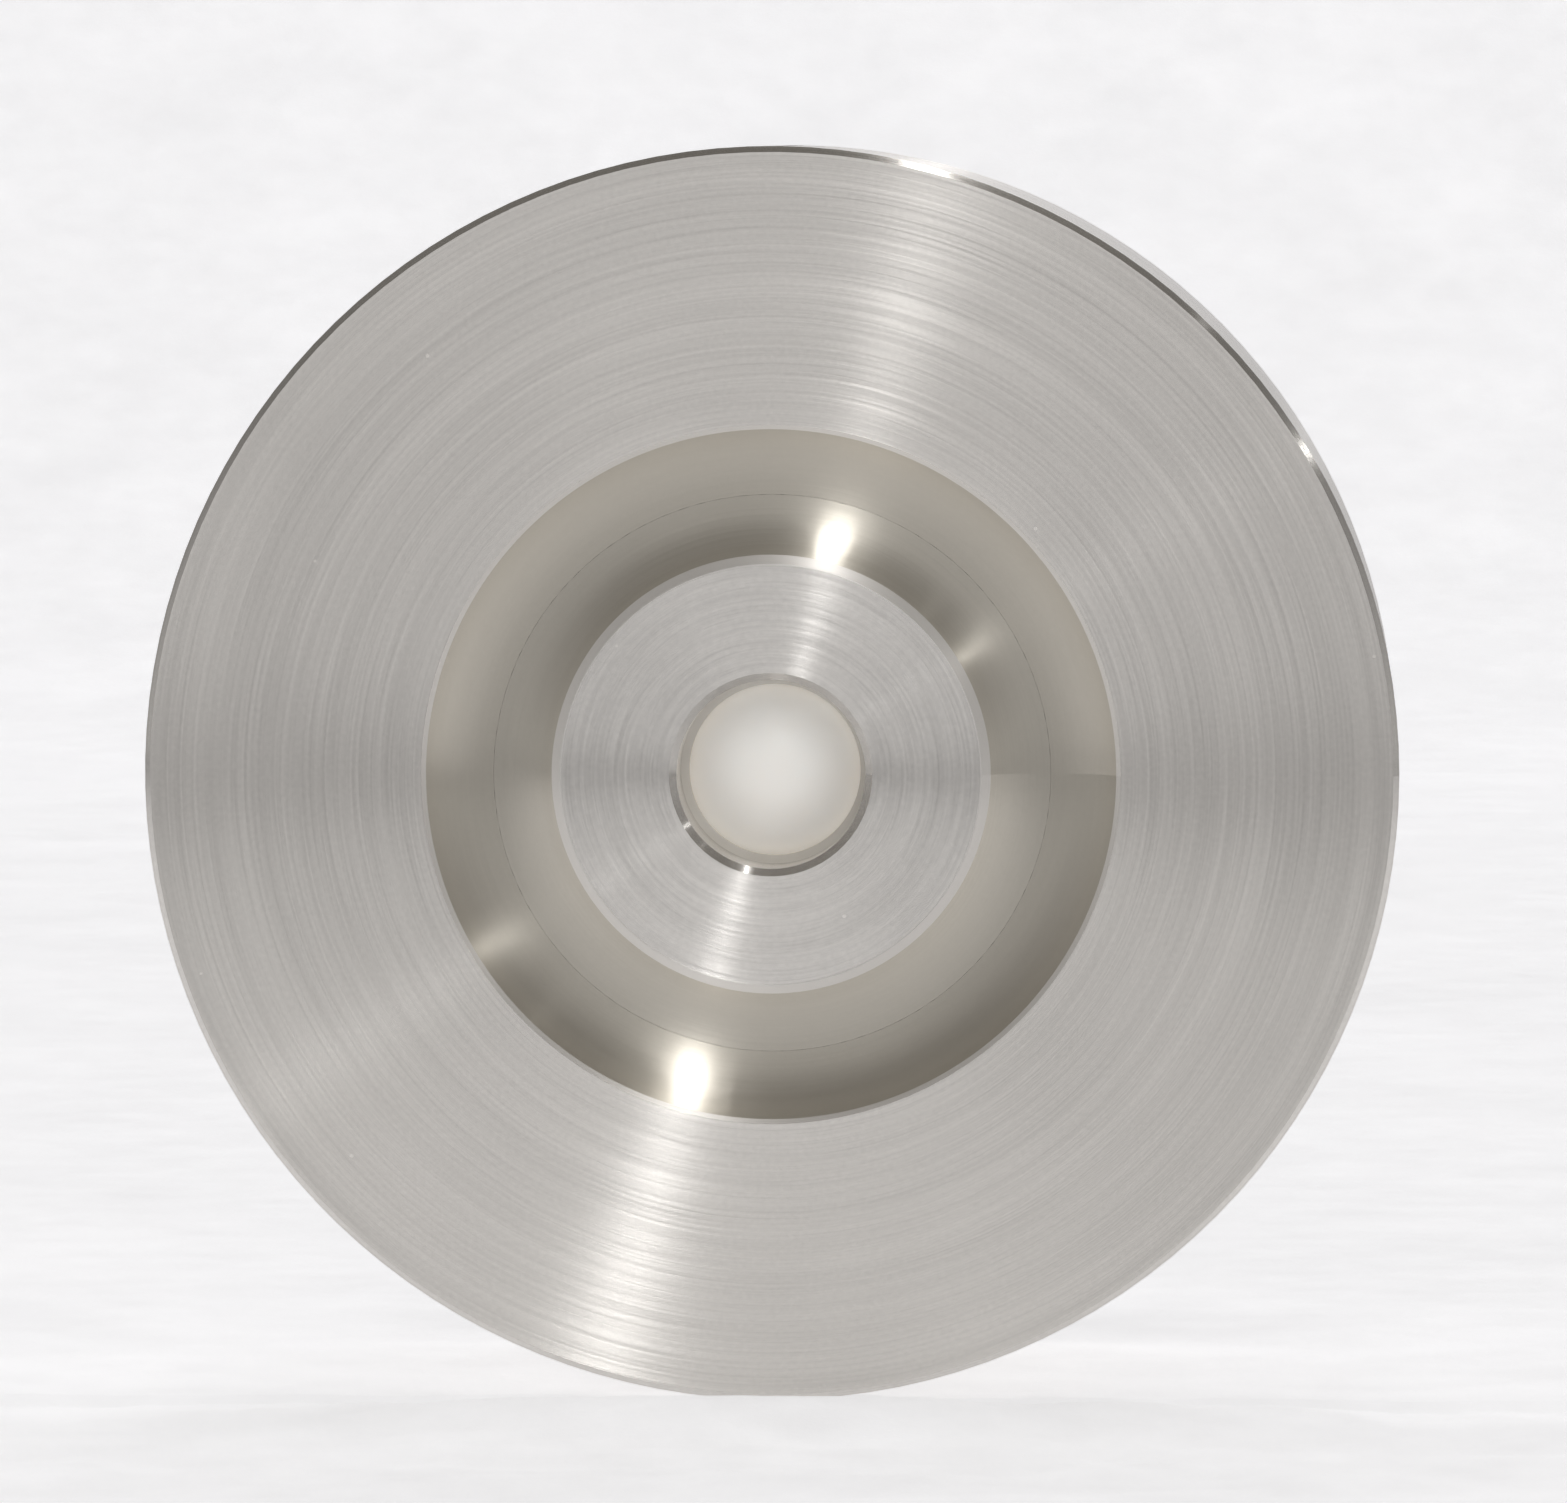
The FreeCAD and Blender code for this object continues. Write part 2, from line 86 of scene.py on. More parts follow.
# ---- Turned metal ----
MARK_DRIFT = 0.16  # how much the tool marks change along their length
MARK_DEPTH = 0.010 * MM
TANGENT_TURN = 0.25  # turns the stretch of the highlights across the tool marks
DISH_RADIUS = 0.35  # shading leans towards the axis, as on a face that is very slightly hollow
NICK_SPACING = 1.6 * MM  # size of the cells that the face is divided into
NICK_SIZE = 0.09 * MM  # radius
NICK_SHARE = 0.12  # share of the cells that have a nick
NICK_BRIGHTNESS = 1.3

# ---- The gasket groove, whose metal is rougher and duller than the faces, with painted shade that deepens towards its bottom ----
GROOVE_INNER_RADIUS = 8.85 * MM
GROOVE_OUTER_RADIUS = 14.7 * MM
GROOVE_SKIN = 0.14 * MM  # the groove's look starts this deep behind the inlet face
GROOVE_FLOOR = 1.6 * MM  # and stops here, just past the groove's bottom
GROOVE_ROUGHNESS = 0.3
GROOVE_ROUGHNESS_SPREAD = 0.02
GROOVE_TINT = (0.79, 0.768, 0.71)
GROOVE_PAINTED_SHADE_DEPTHS = (0.5 * MM, 1.45 * MM)  # depths between which painted shade darkens the groove

# ---- Broken edges, rougher and with a painted highlight for the light they catch: inner and outer radius of each band ----
BROKEN_EDGES = [(8.86 * MM, 9.28 * MM), (14.58 * MM, 14.82 * MM)]
EDGE_SKIN = 0.005 * MM
EDGE_DEPTH = 0.5 * MM
EDGE_ROUGHNESS = 0.5
# brightness of the painted highlight on the broken edges
EDGE_PAINTED_HIGHLIGHT = 1.3

BALL_PAINTED_GLOW = 0.18  # painted glow: the ball shines a little though it is no lamp, standing for the light that scatters through it

# ---- Camera: a little above the flow axis and a little to its right ----
CAMERA_DISTANCE = 0.5
CAMERA_AZIMUTH = 2.5
CAMERA_ELEVATION = 3.0
SENSOR_WIDTH = 36.0
VIEW_WIDTH = 0.0661  # what the picture's width spans at the inlet face
VIEW_CENTRE = Vector((0.00055, 0.0, 0.00099))

# ---- Return spring, as in the CAD model ----
SPRING_WIRE = 0.45 * MM
SPRING_TURNS = 4.5
SPRING_DEAD_TURNS = 1
SPRING_DEAD_PITCH = 1.06 * SPRING_WIRE  # the closed turns all but touch
SPRING_STEPS = 64
SPRING_SIDES = 14

# ---- Stage: pale paper that glows as if lit from all round, less so far to the front and sides ----
FLOOR_REACH = 1.2
FLOOR_STEPS = 260
FLOOR_GRADING = 5.0  # how much finer the mesh is near the valve
BACKDROP_START = 0.5
BACKDROP_BEND = 0.35
BACKDROP_HEIGHT = 1.3
BACKDROP_BEND_STEPS = 12
CONTACT_SHADE = 0.80  # painted shadow: how bright the ground is right beside the rim
CONTACT_REACH = 0.028  # how far from the rim the painted shadow reaches
FLOOR_TONE = (0.86, 0.86, 0.875)
STAGE_GLOW = 0.71
STAGE_FAR_GLOW = 0.25  # share of the glow that is left far away
STAGE_GLOW_NEAR = 0.12  # where the glow starts to fade, to the front and sides
STAGE_GLOW_FAR = 0.5  # and where it is down to that share
BACKDROP_GLOW = 0.89  # share of the glow on the backdrop, behind the valve
BACKDROP_GLOW_REACH = 0.4

# ---- Padding under the valve: a low swell in front of it, and ripples round it ----
SWELL_HEIGHT = 1.25 * MM
SWELL_PLACE = 7.0 * MM  # how far in front of the inlet face
SWELL_DEPTH = 4.5 * MM
SWELL_HALF_WIDTH = 26.0 * MM
RIPPLES = [
    # size, height
    (6.0 * MM, 0.35 * MM),
    (1.7 * MM, 0.12 * MM),
]
RIPPLE_START = 6.0 * MM  # they grow to their full height this far from the foot of the valve
RIPPLE_REACH = 120.0 * MM
RIPPLE_SHARE_BEHIND = 0.3
FRONT_SINK = 0.35 * MM  # how far the ground lies lower in front

# ---- Sky ----
SKY_HEIGHTS = [
    # sine of the height above the horizon, colour
    (0.0, (0.74, 0.735, 0.73)),
    (0.25, (0.50, 0.49, 0.485)),
    (0.6, (0.24, 0.232, 0.22)),
    (1.0, (0.185, 0.175, 0.16)),
]
SKY_SIDE_DIMMING = 0.3  # how much darker the sky is far to the left and right
SKY_DIMMING_START = 0.45  # sine of the angle to the left or right
SKY_DIMMING_END = 0.95

# ---- Lamps: long tubes that run along the flow axis, and a panel that faces the valve ----
TUBES = [
    # name, clock angle from +X towards +Z, distance from the flow axis, first y, last y, width, glow
    ("key_front", 77.5, 0.8, -2.5, -1.0, 0.02, 46.0),
    ("key_middle", 77.5, 0.8, -1.0, -0.3, 0.02, 34.0),
    ("key_over", 77.5, 0.8, -0.3, 0.8, 0.02, 9.0),
    ("side_front", 30.0, 0.8, -2.5, -0.8, 0.008, 15.0),
    ("side_over", 30.0, 0.8, -0.8, 0.6, 0.008, 7.0),
    ("fill_tube", 46.0, 0.8, -2.5, 0.6, 0.012, 0.6),
]
PANELS = [
    # name, clock angle, spread off the -Y axis, distance, width, length, glow
    ("front_panel", 90.0, 15.0, 0.90, 0.40, 0.25, 0.43),
]


# ---------------------------------------------------------------- node helpers


class Shader:
    """A material's node tree, with short calls to add and join nodes."""

    def __init__(self, name):
        self.material = bpy.data.materials.new(name)
        self.material.use_nodes = True
        self.tree = self.material.node_tree
        self.principled = self.tree.nodes["Principled BSDF"]

    def add(self, kind, **settings):
        node = self.tree.nodes.new(kind)
        for key, value in settings.items():
            setattr(node, key, value)
        return node

    def put(self, value, socket):
        """Joins an output to a socket, or sets the socket to a plain value."""
        if isinstance(value, bpy.types.NodeSocket):
            self.tree.links.new(value, socket)
        else:
            socket.default_value = value

    def set(self, **inputs):
        for name, value in inputs.items():
            self.put(value, self.principled.inputs[name.replace("_", " ")])

    def math(self, operation, *values):
        node = self.add("ShaderNodeMath", operation=operation)
        for value, socket in zip(values, node.inputs):
            self.put(value, socket)
        return node.outputs[0]

    def vector_math(self, operation, *values):
        node = self.add("ShaderNodeVectorMath", operation=operation)
        for value, socket in zip(values, node.inputs):
            self.put(value, socket)
        return node

    def position(self):
        return self.add("ShaderNodeTexCoord").outputs["Object"]

    def split(self, vector):
        node = self.add("ShaderNodeSeparateXYZ")
        self.put(vector, node.inputs[0])
        return node.outputs

    def join(self, x, y, z):
        node = self.add("ShaderNodeCombineXYZ")
        for value, socket in zip((x, y, z), node.inputs):
            self.put(value, socket)
        return node.outputs[0]

    def noise(self, vector, scale, detail=2.0, roughness=0.5):
        node = self.add("ShaderNodeTexNoise")
        self.put(vector, node.inputs["Vector"])
        node.inputs["Scale"].default_value = scale
        node.inputs["Detail"].default_value = detail
        node.inputs["Roughness"].default_value = roughness
        return node.outputs["Fac"]

    def remap(self, value, low, high, to_low, to_high):
        node = self.add("ShaderNodeMapRange")
        for v, socket in zip((value, low, high, to_low, to_high), node.inputs):
            self.put(v, socket)
        return node.outputs[0]

    def nicks(self, spacing, size, share):
        """1 inside small scattered spots, 0 elsewhere: this share of the cells has a spot."""
        node = self.add("ShaderNodeTexVoronoi")
        self.put(self.position(), node.inputs["Vector"])
        node.inputs["Scale"].default_value = 1 / spacing
        chosen = self.step(self.split(node.outputs["Color"])[0], 1.0 - share)
        spot = self.math("LESS_THAN", node.outputs["Distance"], size / spacing)
        return self.math("MULTIPLY", chosen, spot)

    def mix(self, factor, a, b):
        node = self.add("ShaderNodeMix", data_type="FLOAT")
        for value, socket in zip((factor, a, b), (node.inputs[0], node.inputs[2], node.inputs[3])):
            self.put(value, socket)
        return node.outputs[0]

    def step(self, value, edge):
        return self.math("GREATER_THAN", value, edge)

    def blend(self, factor, a, b):
        node = self.add("ShaderNodeMix", data_type="RGBA")
        self.put(factor, node.inputs["Factor"])
        self.put((*a, 1.0) if isinstance(a, tuple) else a, node.inputs["A"])
        self.put((*b, 1.0) if isinstance(b, tuple) else b, node.inputs["B"])
        return node.outputs["Result"]

    def bump(self, height, distance, normal=None):
        node = self.add("ShaderNodeBump")
        if normal:
            self.put(normal, node.inputs["Normal"])
        node.inputs["Distance"].default_value = distance
        self.put(height, node.inputs["Height"])
        self.put(node.outputs["Normal"], self.principled.inputs["Normal"])


def tone(colour, factor):
    return tuple(min(1.0, c * factor) for c in colour)


# ---------------------------------------------------------------- materials


def groove_mask(s, radius, y):
    """1 in the gasket groove, 0 elsewhere."""
    inside = s.math("MULTIPLY", s.step(radius, GROOVE_INNER_RADIUS), s.step(y, GROOVE_SKIN))
    outside = s.math("ADD", s.step(radius, GROOVE_OUTER_RADIUS), s.step(y, GROOVE_FLOOR))
    return s.math("MULTIPLY", inside, s.math("SUBTRACT", 1.0, s.math("MINIMUM", outside, 1.0)))


def groove_metal_with_painted_shade(s, colour, shade, y):
    """Duller metal with painted shade: a lit and a shaded copy of it, blended by the groove's depth."""
    dull = tuple(c * t for c, t in zip(colour, GROOVE_TINT))
    depth = s.remap(y, *GROOVE_PAINTED_SHADE_DEPTHS, 0.0, 0.85)
    depth = s.math("ADD", depth, s.remap(shade, *SHADE_SPAN, 0.15, 0.0))
    return s.blend(depth, tone(dull, 1.2), tone(dull, 0.84))


def turned_steel(name, colour, roughness=0.205, anisotropy=1.0, groove=False):
    """Metal cut on a lathe: tool marks run round the flow axis, on faces, bores and the groove alike."""
    s = Shader(name)
    x, y, z = s.split(s.position())
    radius = s.vector_math("LENGTH", s.join(x, 0.0, z)).outputs["Value"]
    across = s.math("MULTIPLY", s.math("ADD", radius, y), 1 / MM)  # across the tool marks, in mm
    reach = s.math("MAXIMUM", radius, MM)
    round_x = s.math("MULTIPLY", s.math("DIVIDE", x, reach), MARK_DRIFT)
    round_z = s.math("MULTIPLY", s.math("DIVIDE", z, reach), MARK_DRIFT)
    marks = s.join(across, round_x, round_z)
    fine = s.noise(marks, 7.0, 4.0, 0.62)
    broad = s.noise(marks, 0.9, 3.0, 0.55)
    patch = s.noise(s.position(), 0.11 / MM, 2.0, 0.5)
    grain = s.noise(s.position(), 5.0 / MM, 2.0, 0.5)
    shade = s.math("ADD", s.math("MULTIPLY", fine, 0.4), s.math("MULTIPLY", broad, 0.25))
    shade = s.math("ADD", shade, s.math("MULTIPLY", patch, 0.15))
    shade = s.math("ADD", shade, s.math("MULTIPLY", grain, 0.2))
    metal = s.blend(s.remap(shade, *SHADE_SPAN, 0.0, 1.0), tone(colour, 0.88), tone(colour, 1.08))
    nicks = s.nicks(NICK_SPACING, NICK_SIZE, NICK_SHARE)
    metal = s.blend(s.math("MULTIPLY", nicks, 0.6), metal, tone(colour, NICK_BRIGHTNESS))
    rough = s.remap(fine, *NOISE_SPAN, roughness - 0.04, roughness + 0.05)
    waves = s.math("MULTIPLY", broad, 0.8)
    if groove:
        inside = groove_mask(s, radius, y)
        # the groove: duller metal, with painted shade that deepens with depth
        metal = s.blend(inside, metal, groove_metal_with_painted_shade(s, colour, shade, y))
        low = GROOVE_ROUGHNESS - GROOVE_ROUGHNESS_SPREAD
        high = GROOVE_ROUGHNESS + GROOVE_ROUGHNESS_SPREAD
        rough = s.mix(inside, rough, s.remap(fine, *NOISE_SPAN, low, high))
        waves = s.math("MULTIPLY", waves, s.mix(inside, 1.0, 3.0))
        for inner, outer in BROKEN_EDGES:
            band = s.math("MULTIPLY", s.step(radius, inner), s.math("LESS_THAN", radius, outer))
            band = s.math("MULTIPLY", band, s.math("LESS_THAN", y, EDGE_DEPTH))
            band = s.math("MULTIPLY", band, s.step(y, EDGE_SKIN))
            # painted highlight: the broken edges are made brighter
            metal = s.blend(band, metal, tone(colour, EDGE_PAINTED_HIGHLIGHT))
            rough = s.mix(band, rough, EDGE_ROUGHNESS)
    s.set(Base_Color=metal, Metallic=1.0, Roughness=rough)
    s.principled.inputs["Anisotropic"].default_value = anisotropy
    s.principled.inputs["Anisotropic Rotation"].default_value = TANGENT_TURN
    tangent = s.add("ShaderNodeTangent", direction_type="RADIAL", axis="Y")
    s.put(tangent.outputs[0], s.principled.inputs["Tangent"])
    inward = s.vector_math("SCALE", s.join(x, 0.0, z))
    inward.inputs["Scale"].default_value = -1.0 / DISH_RADIUS
    normal = s.vector_math("ADD", s.add("ShaderNodeNewGeometry").outputs["Normal"], inward.outputs[0])
    normal = s.vector_math("NORMALIZE", normal.outputs[0])
    relief = s.math("ADD", s.math("MULTIPLY", fine, 0.5), waves)
    relief = s.math("SUBTRACT", relief, s.math("MULTIPLY", nicks, 0.4))
    s.bump(relief, MARK_DEPTH, normal=normal.outputs[0])
    return s.material


def polished_steel(name, colour, roughness=0.14):
    """Ground metal with faint fine scratches in every direction."""
    s = Shader(name)
    p = s.position()
    grain = s.noise(p, 2.2 / MM, 5.0, 0.6)
    cloud = s.noise(p, 0.25 / MM, 2.0, 0.5)
    s.set(
        Base_Color=s.blend(cloud, tone(colour, 0.93), tone(colour, 1.04)),
        Metallic=1.0,
        Roughness=s.remap(grain, *NOISE_SPAN, roughness - 0.04, roughness + 0.06),
    )
    s.bump(grain, 0.002 * MM)
    return s.material


def smooth_polymer(name, colour, shadow, roughness=0.32, milkiness=0.08, depth_mm=0.4, glow=0.0):
    """Machined and tumbled polymer: slightly milky, with a faint unevenness."""
    s = Shader(name)
    p = s.position()
    cloud = s.noise(p, 0.35 / MM, 3.0, 0.5)
    grain = s.noise(p, 3.0 / MM, 3.0, 0.6)
    s.set(
        Base_Color=s.blend(s.remap(cloud, *NOISE_SPAN, 0.0, 1.0), shadow, colour),
        Roughness=s.remap(grain, *NOISE_SPAN, roughness - 0.05, roughness + 0.08),
        Subsurface_Weight=milkiness,
        Subsurface_Scale=depth_mm * MM,
        Subsurface_Radius=(1.0, 0.95, 0.9),
        # a painted glow where glow is set: the part shines though it is no lamp
        Emission_Color=(*colour, 1.0),
        Emission_Strength=glow,
    )
    s.bump(grain, 0.004 * MM)
    return s.material


def moulded_rubber(name, colour):
    s = Shader(name)
    p = s.position()
    grain = s.noise(p, 5.0 / MM, 4.0, 0.6)
    s.set(
        Base_Color=s.blend(grain, tone(colour, 0.7), tone(colour, 1.5)),
        Roughness=s.remap(grain, *NOISE_SPAN, 0.42, 0.6),
    )
    s.bump(grain, 0.01 * MM)
    return s.material


MAKERS = {
    "body_steel": lambda n: turned_steel(n, (0.668, 0.645, 0.613), groove=True),
    "nozzle_steel": lambda n: turned_steel(n, (0.678, 0.657, 0.628), groove=True),
    "ball_white": lambda n: smooth_polymer(
        n, (0.95, 0.92, 0.88), (0.93, 0.89, 0.84), milkiness=0.8, depth_mm=2.0, glow=BALL_PAINTED_GLOW
    ),
    "seat_cream": lambda n: smooth_polymer(n, (0.84, 0.81, 0.75), (0.78, 0.74, 0.67), 0.42),
    "seal_rubber": lambda n: moulded_rubber(n, (0.035, 0.035, 0.037)),
    "retainer_steel": lambda n: turned_steel(n, (0.60, 0.59, 0.575), 0.30),
    "poppet_steel": lambda n: turned_steel(n, (0.63, 0.62, 0.605), 0.26),
    "stem_steel": lambda n: polished_steel(n, (0.68, 0.68, 0.69)),
    "spring_steel": lambda n: polished_steel(n, (0.52, 0.51, 0.49), 0.24),
    "sleeve_steel": lambda n: turned_steel(n, (0.60, 0.59, 0.575), 0.30),
    "cage_steel": lambda n: turned_steel(n, (0.60, 0.59, 0.57), 0.36, 0.5),
    "bush_bronze": lambda n: turned_steel(n, (0.66, 0.45, 0.24), 0.30, 0.6),
    "washer_steel": lambda n: polished_steel(n, (0.54, 0.53, 0.52), 0.28),
    "ring_steel": lambda n: polished_steel(n, (0.26, 0.25, 0.24), 0.38),
}


def finish_parts():
    """Gives every CAD part its material, by the slot that the record names for it."""
    made = {slot: make(slot + "_finish") for slot, make in MAKERS.items()}
    for part in frame["record"]["subparts"]:
        obj = frame["nodes"][part["node"]]
        obj.data.materials.clear()
        obj.data.materials.append(made[part["material_slot"]])
    return made


# ---------------------------------------------------------------- spring


def mesh_object(name, build):
    mesh = bpy.data.meshes.new(name)
    bm = bmesh.new()
    build(bm)
    bm.to_mesh(mesh)
    bm.free()
    for polygon in mesh.polygons:
        polygon.use_smooth = True
    obj = bpy.data.objects.new(name, mesh)
    bpy.context.scene.collection.objects.link(obj)
    return obj


def make_spring(material):
    """The return spring as a smooth coil: closed turns and ground ends."""
    low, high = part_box("return_spring")
    length = high.y - low.y
    mean_radius = (high.x - low.x) / 2 - SPRING_WIRE / 2
    steps = round(SPRING_TURNS * SPRING_STEPS)
    dead_steps = SPRING_DEAD_TURNS * SPRING_STEPS
    dead_rise = SPRING_DEAD_PITCH / SPRING_STEPS
    active_rise = (length - 2 * dead_steps * dead_rise) / (steps - 2 * dead_steps)

    def coil(bm):
        rings = []
        height = low.y
        for i in range(steps + 1):
            turn = 2 * math.pi * i / SPRING_STEPS
            outward = Vector((math.cos(turn), 0.0, math.sin(turn)))
            ring = []
            for k in range(SPRING_SIDES):
                around = 2 * math.pi * k / SPRING_SIDES
                offset = outward * math.cos(around) + Vector((0.0, math.sin(around), 0.0))
                point = outward * mean_radius + offset * SPRING_WIRE / 2
                point.y = min(max(point.y + height, low.y), high.y)  # the ends are ground flat
                ring.append(bm.verts.new(point))
            rings.append(ring)
            height += dead_rise if i < dead_steps or i >= steps - dead_steps else active_rise
        for a, b in zip(rings, rings[1:]):
            for k in range(SPRING_SIDES):
                n = (k + 1) % SPRING_SIDES
                bm.faces.new((a[k], b[k], b[n], a[n]))
        bm.faces.new(rings[0])
        bm.faces.new(reversed(rings[-1]))
        bmesh.ops.recalc_face_normals(bm, faces=bm.faces)

    obj = mesh_object("return_spring_coil", coil)
    obj.data.materials.append(material)
    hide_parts("return_spring")
    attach(obj, "valve_body")
    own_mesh(obj)


# ---------------------------------------------------------------- stage


def ripple_height(x, y):
    place = Vector((x, y, 0.0))
    return sum(height * noise.noise(place / size) for size, height in RIPPLES)


def floor_height(x, y):
    """A soft padded surface: almost level, with a low swell in front of the valve."""
    swell = SWELL_HEIGHT * math.exp(-(((max(0.0, -y) - SWELL_PLACE) / SWELL_DEPTH) ** 2))
    swell *= math.exp(-((x / SWELL_HALF_WIDTH) ** 2))
    level = min(1.0, math.hypot(x, min(0.0, y)) / RIPPLE_START)
    near = math.exp(-((math.hypot(x, y) / RIPPLE_REACH) ** 2))
    ripple = ripple_height(x, y) * level * near
    if y < 0:
        return swell + ripple - FRONT_SINK * near * level
    return swell + ripple * RIPPLE_SHARE_BEHIND


def floor_paper():
    """Pale paper with a glow that fades away from the valve, and painted shadow close beside it."""
    s = Shader("floor_paper")
    p = s.position()
    x, y, _ = s.split(p)
    cloud = s.noise(p, 60.0, 4.0, 0.55)
    grain = s.noise(p, 900.0, 4.0, 0.6)
    fibres = s.noise(p, 260.0, 4.0, 0.6)
    aside = s.math("ABSOLUTE", x)
    in_front = s.math("MULTIPLY", y, -1.0)
    away = s.math("MAXIMUM", aside, in_front)
    fade = s.remap(away, STAGE_GLOW_NEAR, STAGE_GLOW_FAR, 1.0, STAGE_FAR_GLOW)
    fade = s.math("MULTIPLY", fade, s.remap(y, 0.0, BACKDROP_GLOW_REACH, 1.0, BACKDROP_GLOW))
    past_ends = s.math("MAXIMUM", in_front, s.math("SUBTRACT", y, cad_box[1].y))
    beside = s.math("MAXIMUM", s.math("MULTIPLY", past_ends, 2.0), aside)
    # painted contact shadow beside the rim
    fade = s.math("MULTIPLY", fade, s.remap(beside, 0.0, CONTACT_REACH, CONTACT_SHADE, 1.0))
    uneven = s.math("ADD", s.math("MULTIPLY", cloud, 0.5), s.math("MULTIPLY", fibres, 0.5))
    fade = s.math("MULTIPLY", fade, s.remap(uneven, 0.35, 0.65, 0.93, 1.05))
    s.set(
        Base_Color=s.blend(cloud, tone(FLOOR_TONE, 0.97), tone(FLOOR_TONE, 1.02)),
        Roughness=0.9,
        Specular_IOR_Level=0.2,
        Emission_Color=(*FLOOR_TONE, 1.0),
        Emission_Strength=s.math("MULTIPLY", STAGE_GLOW, fade),
    )
    s.bump(grain, 0.05 * MM)
    return s.material


def spaced(t):
    """Places that lie close together near the valve and far apart away from it."""
    return FLOOR_REACH * math.sinh(FLOOR_GRADING * t) / math.sinh(FLOOR_GRADING)


def sweep_profile():
    """The sweep from its front to the backdrop's top: place along the flow, height above the ground."""
    back = math.asinh(BACKDROP_START * math.sinh(FLOOR_GRADING) / FLOOR_REACH) / FLOOR_GRADING
    profile = [(spaced(-1 + (1 + back) * i / FLOOR_STEPS), 0.0) for i in range(FLOOR_STEPS + 1)]
    for k in range(1, BACKDROP_BEND_STEPS + 1):
        turn = math.pi / 2 * k / BACKDROP_BEND_STEPS
        rise = BACKDROP_BEND * (1 - math.cos(turn))
        profile.append((BACKDROP_START + BACKDROP_BEND * math.sin(turn), rise))
    profile.append((BACKDROP_START + BACKDROP_BEND, BACKDROP_HEIGHT))
    return profile


def make_floor():
    """Padded ground round the valve that runs level and curves up into a backdrop far behind."""
    ground = cad_box[0].z
    columns = [spaced(2 * i / FLOOR_STEPS - 1) for i in range(FLOOR_STEPS + 1)]

    def sweep(bm):
        rows = []
        for y, rise in sweep_profile():
            heights = [ground + (rise or floor_height(x, y)) for x in columns]
            rows.append([bm.verts.new((x, y, z)) for x, z in zip(columns, heights)])
        for front, behind in zip(rows, rows[1:]):
            for i in range(FLOOR_STEPS):
                bm.faces.new((front[i], front[i + 1], behind[i + 1], behind[i]))

    obj = mesh_object("floor_sweep", sweep)
    obj.data.materials.append(floor_paper())


def area_light(name, width, length, glow, place, valve):
    """A rectangular lamp that lights only the valve. Its surface shows as white where glow is 1."""
    light = bpy.data.lights.new(name, "AREA")
    light.shape = "RECTANGLE"
    light.size = width
    light.size_y = length
    light.energy = glow * width * length * math.pi
    obj = bpy.data.objects.new(name, light)
    obj.matrix_world = place
    obj.visible_camera = False
    obj.light_linking.receiver_collection = valve
    bpy.context.scene.collection.objects.link(obj)


def facing_place(centre, along, out):
    """A place whose local -Z looks along -out, with local Y along the given direction."""
    z_axis = out.normalized()
    y_axis = (along - z_axis * along.dot(z_axis)).normalized()
    rotation = Matrix((y_axis.cross(z_axis), y_axis, z_axis)).transposed().to_4x4()
    return Matrix.Translation(centre) @ rotation


def make_lights():
    valve = bpy.data.collections.new("valve_pieces")
    for obj in bpy.data.objects:
        if obj.type == "MESH" and not obj.name.startswith("floor_"):
            valve.objects.link(obj)
    flow = Vector((0.0, 1.0, 0.0))
    for name, clock, distance, first, last, width, glow in TUBES:
        a = math.radians(clock)
        out = Vector((math.cos(a), 0.0, math.sin(a)))
        centre = out * distance + flow * (first + last) / 2
        area_light(name, width, last - first, glow, facing_place(centre, flow, out), valve)
    for name, clock, spread, distance, width, length, glow in PANELS:
        a, b = math.radians(clock), math.radians(spread)
        out = Vector((math.cos(a), 0.0, math.sin(a)))
        towards = out * math.sin(b) - flow * math.cos(b)
        area_light(name, width, length, glow, facing_place(towards * distance, out, towards), valve)


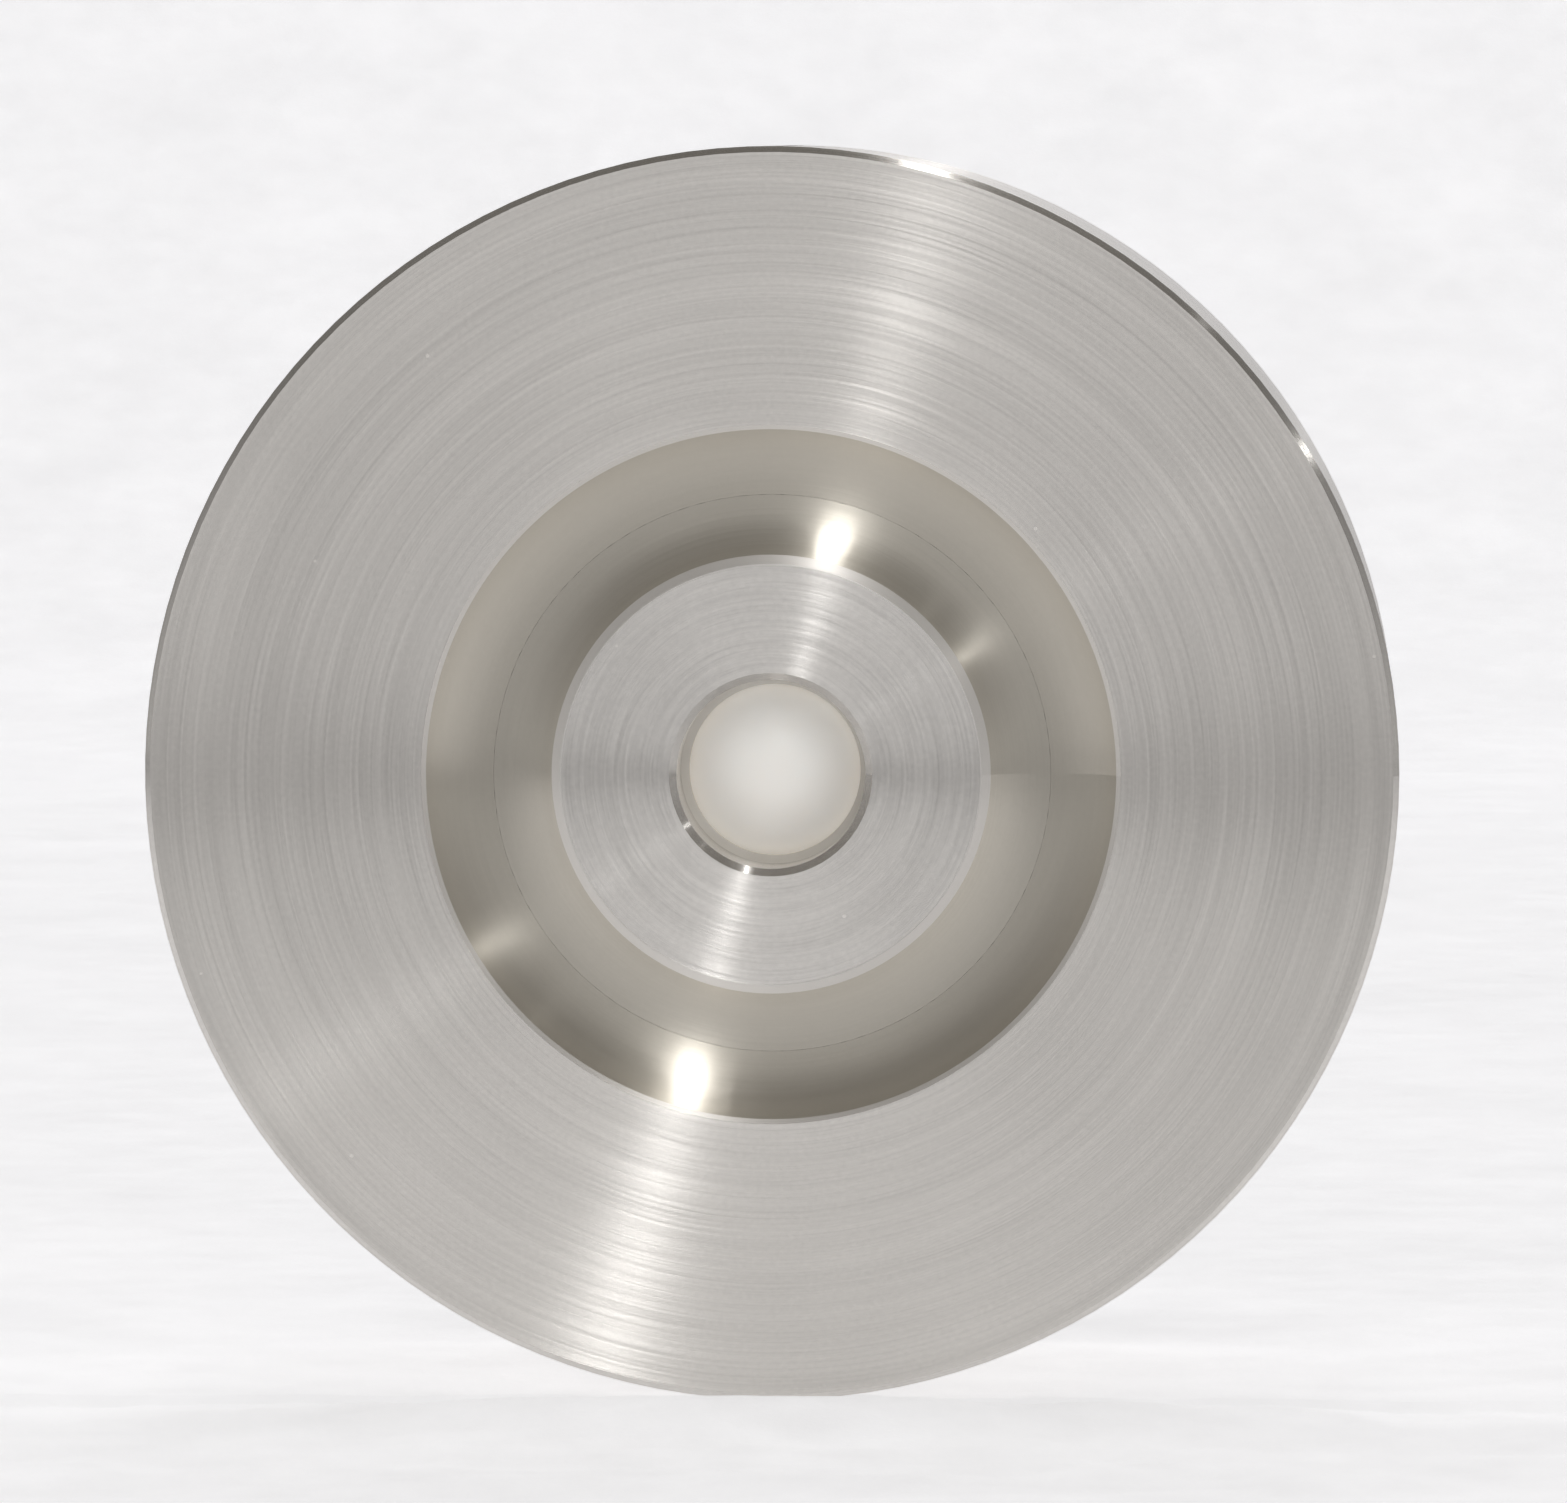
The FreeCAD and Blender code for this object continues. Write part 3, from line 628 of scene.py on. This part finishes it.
def make_sky():
    """A sky that is pale near the horizon, dark overhead, and dimmer to the sides."""
    world = bpy.data.worlds.new("sky")
    world.use_nodes = True
    tree = world.node_tree
    coordinate = tree.nodes.new("ShaderNodeTexCoord")
    split = tree.nodes.new("ShaderNodeSeparateXYZ")
    ramp = tree.nodes.new("ShaderNodeValToRGB")
    sideways = tree.nodes.new("ShaderNodeMath")
    dimming = tree.nodes.new("ShaderNodeMapRange")
    tree.links.new(coordinate.outputs["Generated"], split.inputs[0])
    tree.links.new(split.outputs["Z"], ramp.inputs[0])
    elements = ramp.color_ramp.elements
    while len(elements) < len(SKY_HEIGHTS):
        elements.new(0.5)
    for element, (height, colour) in zip(elements, SKY_HEIGHTS):
        element.position = height
        element.color = (*colour, 1.0)
    sideways.operation = "ABSOLUTE"
    tree.links.new(split.outputs["X"], sideways.inputs[0])
    tree.links.new(sideways.outputs[0], dimming.inputs["Value"])
    dimming.inputs["From Min"].default_value = SKY_DIMMING_START
    dimming.inputs["From Max"].default_value = SKY_DIMMING_END
    dimming.inputs["To Min"].default_value = 1.0
    dimming.inputs["To Max"].default_value = 1.0 - SKY_SIDE_DIMMING
    background = tree.nodes["Background"]
    tree.links.new(ramp.outputs[0], background.inputs["Color"])
    tree.links.new(dimming.outputs[0], background.inputs["Strength"])
    bpy.context.scene.world = world


def make_camera():
    camera = bpy.data.cameras.new("camera")
    camera.sensor_width = SENSOR_WIDTH
    camera.lens = SENSOR_WIDTH * CAMERA_DISTANCE / VIEW_WIDTH
    camera.clip_start = 0.01
    camera.clip_end = 10.0
    obj = bpy.data.objects.new("camera", camera)
    a, e = math.radians(CAMERA_AZIMUTH), math.radians(CAMERA_ELEVATION)
    back = Vector((math.sin(a) * math.cos(e), -math.cos(a) * math.cos(e), math.sin(e)))
    obj.location = VIEW_CENTRE + back * CAMERA_DISTANCE
    obj.rotation_mode = "QUATERNION"
    obj.rotation_quaternion = (-back).to_track_quat("-Z", "Y")
    bpy.context.scene.collection.objects.link(obj)
    bpy.context.scene.camera = obj


make_camera()
make_sky()
make_floor()
made = finish_parts()
make_spring(made["spring_steel"])
make_lights()
bpy.context.scene.view_settings.view_transform = "Standard"
